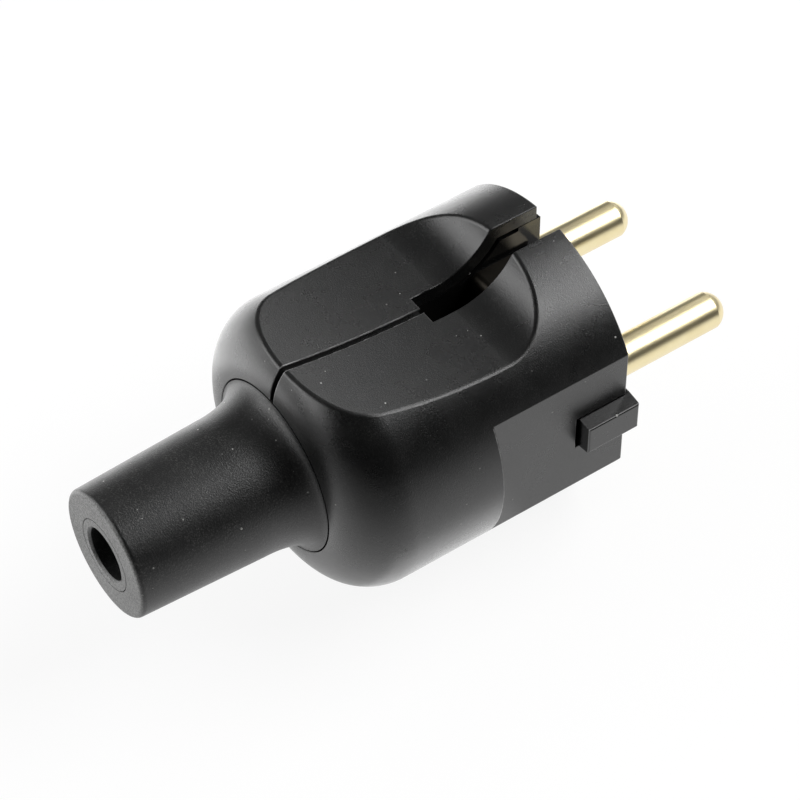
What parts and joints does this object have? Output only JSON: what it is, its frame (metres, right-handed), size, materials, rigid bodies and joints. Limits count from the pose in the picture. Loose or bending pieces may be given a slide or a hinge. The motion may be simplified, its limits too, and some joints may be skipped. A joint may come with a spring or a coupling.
{
  "type": "grounded plug",
  "caption": "Rewirable grounded plug with round pins, earth contacts in slots above and below, an earth socket, finger dishes and a straight cable sleeve.",
  "frame": {"origin": "centre of the engagement face, midway between the pins", "axes": "+X along the pins, out of the face; Y along the line through both pins; +Z to the upper earth slot, away from the earth socket"},
  "size_m": [0.0818, 0.0374, 0.037],
  "materials": {
    "housing": "satin black",
    "insert": "satin black",
    "sleeve": "matte black, fine grain",
    "pin_brass": "polished pale brass",
    "strap_brass": "dark tarnished brass strip",
    "screw_steel": "bright zinc"
  },
  "bodies": {
    "root": {"near_shell": "housing", "far_shell": "housing", "pin_carrier": "insert", "line_pin": "pin_brass", "neutral_pin": "pin_brass", "earth_strap": "strap_brass", "earth_socket_clip": "strap_brass", "earth_terminal": "strap_brass", "terminal_screws": "screw_steel", "housing_screws": "screw_steel", "cord_grip_bar": "insert", "cord_grip_screws": "screw_steel", "cable_sleeve": "sleeve", "cable_reducer": "sleeve"}
  },
  "joints": []
}
